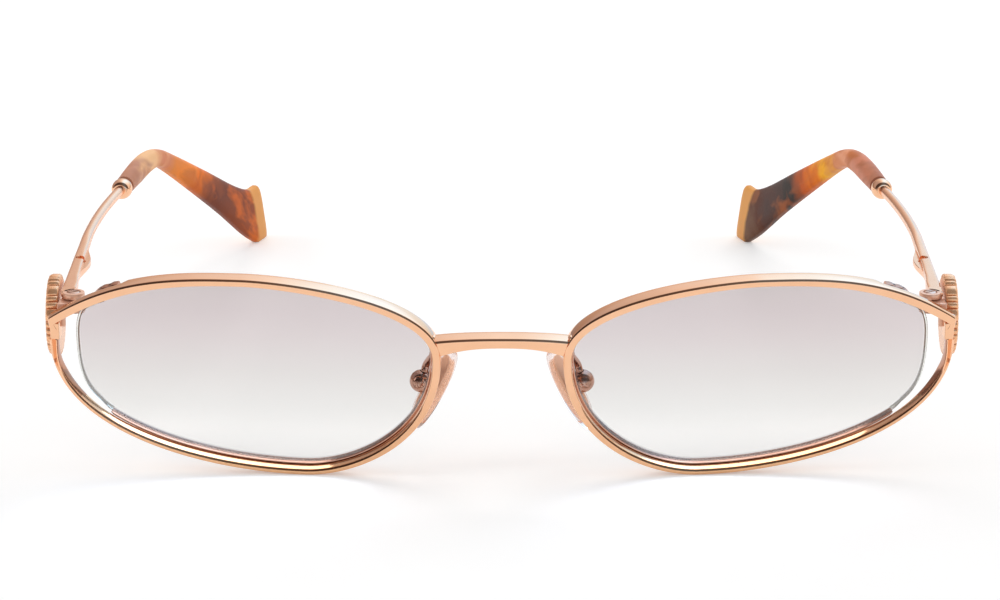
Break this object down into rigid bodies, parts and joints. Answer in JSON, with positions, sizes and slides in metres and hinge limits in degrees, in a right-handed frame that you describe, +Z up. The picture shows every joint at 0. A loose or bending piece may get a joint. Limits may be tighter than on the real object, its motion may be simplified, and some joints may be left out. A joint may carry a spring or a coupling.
{
  "type": "sunglasses",
  "caption": "Oval metal sunglasses with swept-out lower rims, a scalloped disc at each hinge, tinted lenses, adjustable nose pads and bent acetate tips.",
  "frame": {"origin": "on the table, midway between the two sides and midway between the front and the tips, under the open glasses", "axes": "+X to the wearer's right-hand side as seen from the front, +Y from the front to the temple tips, +Z up"},
  "size_m": [0.1406, 0.1392, 0.033],
  "materials": {
    "rose_gold": "polished rose gold plating",
    "screw_steel": "satin",
    "lens_tint": "clear, graded grey tint",
    "nylon": "clear",
    "silicone": "clear, soft",
    "acetate": "polished, mottled amber and brown"
  },
  "bodies": {
    "front": {"bridge": "rose_gold", "outer_rim_left": "rose_gold", "outer_rim_right": "rose_gold", "eyewire_left": "rose_gold", "eyewire_right": "rose_gold", "lens_left": "lens_tint", "lens_right": "lens_tint", "lens_thread_left": "nylon", "lens_thread_right": "nylon", "thread_anchor_left": "rose_gold", "thread_anchor_right": "rose_gold", "end_block_left": "rose_gold", "end_block_right": "rose_gold", "rosette_left": "rose_gold", "rosette_right": "rose_gold", "hinge_leaf_left": "rose_gold", "hinge_leaf_right": "rose_gold", "hinge_screw_left": "screw_steel", "hinge_screw_right": "screw_steel", "pad_arm_left": "rose_gold", "pad_arm_right": "rose_gold", "pad_box_left": "rose_gold", "pad_box_right": "rose_gold", "pad_screw_left": "screw_steel", "pad_screw_right": "screw_steel"},
    "temple_left": {"temple_bar_left": "rose_gold", "temple_collar_left": "rose_gold", "temple_tip_left": "acetate"},
    "temple_right": {"temple_bar_right": "rose_gold", "temple_collar_right": "rose_gold", "temple_tip_right": "acetate"},
    "pad_left": {"nose_pad_left": "silicone", "pad_core_left": "rose_gold"},
    "pad_right": {"nose_pad_right": "silicone", "pad_core_right": "rose_gold"}
  },
  "joints": [
    {"name": "temple_fold_left", "type": "hinge", "parent": "front", "child": "temple_left", "pos_m": [-0.0661, -0.05933, 0.02797], "axis": [0, 0, -1], "range_deg": [0, 80]},
    {"name": "temple_fold_right", "type": "hinge", "parent": "front", "child": "temple_right", "pos_m": [0.0661, -0.05933, 0.02797], "axis": [0, 0, 1], "range_deg": [0, 74]},
    {"name": "pad_rock_left", "type": "hinge", "parent": "front", "child": "pad_left", "pos_m": [-0.01255, -0.05953, 0.01367], "axis": [0, 1, 0], "range_deg": [-8, 8]},
    {"name": "pad_rock_right", "type": "hinge", "parent": "front", "child": "pad_right", "pos_m": [0.01255, -0.05953, 0.01367], "axis": [0, 1, 0], "range_deg": [-8, 8]}
  ]
}
